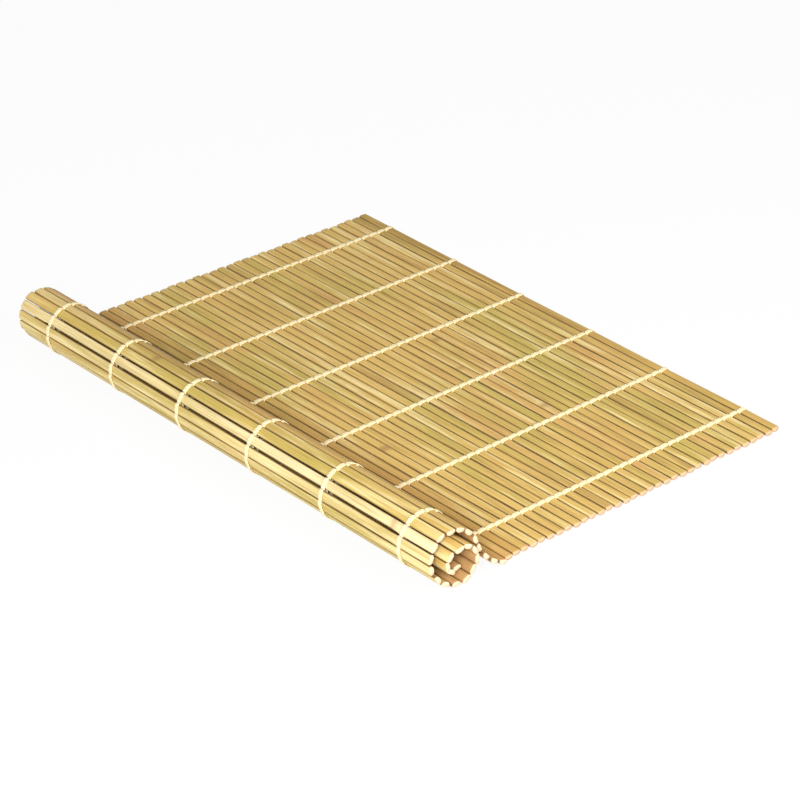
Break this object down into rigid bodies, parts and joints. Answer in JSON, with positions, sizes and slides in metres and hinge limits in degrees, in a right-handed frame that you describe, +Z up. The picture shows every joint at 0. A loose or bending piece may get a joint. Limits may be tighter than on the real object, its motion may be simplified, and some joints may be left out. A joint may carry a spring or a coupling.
{
  "type": "sushi rolling mat",
  "caption": "Bamboo slat mat for rolling sushi, twined with cotton cords, lying flat with one end curled into a tight roll.",
  "frame": {"origin": "below the middle of the mat's outline at rest, on the surface that it lies on", "axes": "+Y along the slats, +X from the roll towards the flat end, +Z up"},
  "size_m": [0.1704, 0.2454, 0.0211],
  "materials": {
    "bamboo": "dry split bamboo, skin side up, satin",
    "cotton_cord": "undyed cotton twine, matt"
  },
  "bodies": {
    "flat_1_to_6": {"slats_1_to_6": "bamboo", "cords_1_to_6": "cotton_cord"},
    "flat_7_to_13": {"slats_7_to_13": "bamboo", "cords_7_to_13": "cotton_cord"},
    "flat_14_to_20": {"slats_14_to_20": "bamboo", "cords_14_to_20": "cotton_cord"},
    "flat_21_to_27": {"slats_21_to_27": "bamboo", "cords_21_to_27": "cotton_cord"},
    "flat_28_to_34": {"slats_28_to_34": "bamboo", "cords_28_to_34": "cotton_cord"},
    "rolled_35": {"slat_35": "bamboo", "cords_35": "cotton_cord"},
    "rolled_36": {"slat_36": "bamboo", "cords_36": "cotton_cord"},
    "rolled_37": {"slat_37": "bamboo", "cords_37": "cotton_cord"},
    "rolled_38": {"slat_38": "bamboo", "cords_38": "cotton_cord"},
    "rolled_39": {"slat_39": "bamboo", "cords_39": "cotton_cord"},
    "rolled_40": {"slat_40": "bamboo", "cords_40": "cotton_cord"},
    "rolled_41": {"slat_41": "bamboo", "cords_41": "cotton_cord"},
    "rolled_42": {"slat_42": "bamboo", "cords_42": "cotton_cord"},
    "rolled_43": {"slat_43": "bamboo", "cords_43": "cotton_cord"},
    "rolled_44": {"slat_44": "bamboo", "cords_44": "cotton_cord"},
    "rolled_45": {"slat_45": "bamboo", "cords_45": "cotton_cord"},
    "rolled_46": {"slat_46": "bamboo", "cords_46": "cotton_cord"},
    "rolled_47": {"slat_47": "bamboo", "cords_47": "cotton_cord"},
    "rolled_48": {"slat_48": "bamboo", "cords_48": "cotton_cord"},
    "rolled_49": {"slat_49": "bamboo", "cords_49": "cotton_cord"},
    "rolled_50": {"slat_50": "bamboo", "cords_50": "cotton_cord"},
    "rolled_51": {"slat_51": "bamboo", "cords_51": "cotton_cord"},
    "rolled_52": {"slat_52": "bamboo", "cords_52": "cotton_cord"},
    "rolled_53": {"slat_53": "bamboo", "cords_53": "cotton_cord"},
    "rolled_54": {"slat_54": "bamboo", "cords_54": "cotton_cord"},
    "rolled_55": {"slat_55": "bamboo", "cords_55": "cotton_cord"},
    "rolled_56": {"slat_56": "bamboo", "cords_56": "cotton_cord"},
    "rolled_57": {"slat_57": "bamboo", "cords_57": "cotton_cord"},
    "rolled_58": {"slat_58": "bamboo", "cords_58": "cotton_cord"},
    "rolled_59": {"slat_59": "bamboo", "cords_59": "cotton_cord"}
  },
  "joints": [
    {"name": "fold_27", "type": "hinge", "parent": "flat_28_to_34", "child": "flat_21_to_27", "pos_m": [-0.02409, 0.00023, 0.0014], "axis": [-0.0111, 0.9999, 0], "range_deg": [-24, 45]},
    {"name": "fold_20", "type": "hinge", "parent": "flat_21_to_27", "child": "flat_14_to_20", "pos_m": [0.00391, 0.00023, 0.0014], "axis": [-0.0052, 1, 0], "range_deg": [-24, 45]},
    {"name": "fold_13", "type": "hinge", "parent": "flat_14_to_20", "child": "flat_7_to_13", "pos_m": [0.03191, 0.00023, 0.0014], "axis": [0.0008, 1, 0], "range_deg": [-24, 45]},
    {"name": "fold_6", "type": "hinge", "parent": "flat_7_to_13", "child": "flat_1_to_6", "pos_m": [0.05991, 0.00023, 0.0014], "axis": [0.0067, 1, 0], "range_deg": [-24, 45]},
    {"name": "bend_35", "type": "hinge", "parent": "flat_28_to_34", "child": "rolled_35", "pos_m": [-0.05209, 0.00023, 0.0014], "axis": [-0.0166, 0.9999, 0], "range_deg": [-17.26, 6]},
    {"name": "bend_36", "type": "hinge", "parent": "rolled_35", "child": "rolled_36", "pos_m": [-0.05591, 0.00017, 0.00259], "axis": [-0.0166, 0.9999, 0], "range_deg": [-17.26, 6]},
    {"name": "bend_37", "type": "hinge", "parent": "rolled_36", "child": "rolled_37", "pos_m": [-0.0592, 0.00011, 0.00485], "axis": [-0.0166, 0.9999, 0], "range_deg": [-17.26, 6]},
    {"name": "bend_38", "type": "hinge", "parent": "rolled_37", "child": "rolled_38", "pos_m": [-0.06168, 0.00007, 0.008], "axis": [-0.0166, 0.9999, 0], "range_deg": [-17.26, 6]},
    {"name": "bend_39", "type": "hinge", "parent": "rolled_38", "child": "rolled_39", "pos_m": [-0.06311, 0.00005, 0.01173], "axis": [-0.0166, 0.9999, 0], "range_deg": [-6, 6]},
    {"name": "bend_40", "type": "hinge", "parent": "rolled_39", "child": "rolled_40", "pos_m": [-0.06454, 0.00003, 0.01547], "axis": [-0.0166, 0.9999, 0], "range_deg": [0, 24.05]},
    {"name": "bend_41", "type": "hinge", "parent": "rolled_40", "child": "rolled_41", "pos_m": [-0.06736, -0.00002, 0.0183], "axis": [-0.0166, 0.9999, 0], "range_deg": [0, 24.05]},
    {"name": "bend_42", "type": "hinge", "parent": "rolled_41", "child": "rolled_42", "pos_m": [-0.0711, -0.00008, 0.01973], "axis": [-0.0166, 0.9999, 0], "range_deg": [0, 24.05]},
    {"name": "bend_43", "type": "hinge", "parent": "rolled_42", "child": "rolled_43", "pos_m": [-0.07509, -0.00015, 0.01951], "axis": [-0.0166, 0.9999, 0], "range_deg": [0, 24.05]},
    {"name": "bend_44", "type": "hinge", "parent": "rolled_43", "child": "rolled_44", "pos_m": [-0.07865, -0.00021, 0.01769], "axis": [-0.0166, 0.9999, 0], "range_deg": [0, 24.05]},
    {"name": "bend_45", "type": "hinge", "parent": "rolled_44", "child": "rolled_45", "pos_m": [-0.08116, -0.00025, 0.01457], "axis": [-0.0166, 0.9999, 0], "range_deg": [0, 24.05]},
    {"name": "bend_46", "type": "hinge", "parent": "rolled_45", "child": "rolled_46", "pos_m": [-0.08218, -0.00027, 0.0107], "axis": [-0.0166, 0.9999, 0], "range_deg": [0, 24.35]},
    {"name": "bend_47", "type": "hinge", "parent": "rolled_46", "child": "rolled_47", "pos_m": [-0.08151, -0.00026, 0.00676], "axis": [-0.0166, 0.9999, 0], "range_deg": [0, 25.19]},
    {"name": "bend_48", "type": "hinge", "parent": "rolled_47", "child": "rolled_48", "pos_m": [-0.07923, -0.00022, 0.00347], "axis": [-0.0166, 0.9999, 0], "range_deg": [0, 3]},
    {"name": "bend_49", "type": "hinge", "parent": "rolled_48", "child": "rolled_49", "pos_m": [-0.07573, -0.00016, 0.00153], "axis": [-0.0166, 0.9999, 0], "range_deg": [0, 2]},
    {"name": "bend_50", "type": "hinge", "parent": "rolled_49", "child": "rolled_50", "pos_m": [-0.07174, -0.00009, 0.00139], "axis": [-0.0166, 0.9999, 0], "range_deg": [0, 2]},
    {"name": "bend_51", "type": "hinge", "parent": "rolled_50", "child": "rolled_51", "pos_m": [-0.06815, -0.00003, 0.00317], "axis": [-0.0166, 0.9999, 0], "range_deg": [0, 2]},
    {"name": "bend_52", "type": "hinge", "parent": "rolled_51", "child": "rolled_52", "pos_m": [-0.06592, 0, 0.00649], "axis": [-0.0166, 0.9999, 0], "range_deg": [0, 4]},
    {"name": "bend_53", "type": "hinge", "parent": "rolled_52", "child": "rolled_53", "pos_m": [-0.06574, 0.00001, 0.01049], "axis": [-0.0166, 0.9999, 0], "range_deg": [0, 6]},
    {"name": "bend_54", "type": "hinge", "parent": "rolled_53", "child": "rolled_54", "pos_m": [-0.06776, -0.00003, 0.01394], "axis": [-0.0166, 0.9999, 0], "range_deg": [0, 8]},
    {"name": "bend_55", "type": "hinge", "parent": "rolled_54", "child": "rolled_55", "pos_m": [-0.0714, -0.00009, 0.01559], "axis": [-0.0166, 0.9999, 0], "range_deg": [0, 12]},
    {"name": "bend_56", "type": "hinge", "parent": "rolled_55", "child": "rolled_56", "pos_m": [-0.07529, -0.00015, 0.01466], "axis": [-0.0166, 0.9999, 0], "range_deg": [-8, 12]},
    {"name": "bend_57", "type": "hinge", "parent": "rolled_56", "child": "rolled_57", "pos_m": [-0.0776, -0.00019, 0.0114], "axis": [-0.0166, 0.9999, 0], "range_deg": [-12, 6]},
    {"name": "bend_58", "type": "hinge", "parent": "rolled_57", "child": "rolled_58", "pos_m": [-0.07688, -0.00018, 0.00746], "axis": [-0.0166, 0.9999, 0], "range_deg": [-12, 4]},
    {"name": "bend_59", "type": "hinge", "parent": "rolled_58", "child": "rolled_59", "pos_m": [-0.07354, -0.00012, 0.00526], "axis": [-0.0166, 0.9999, 0], "range_deg": [-8, 8]}
  ]
}
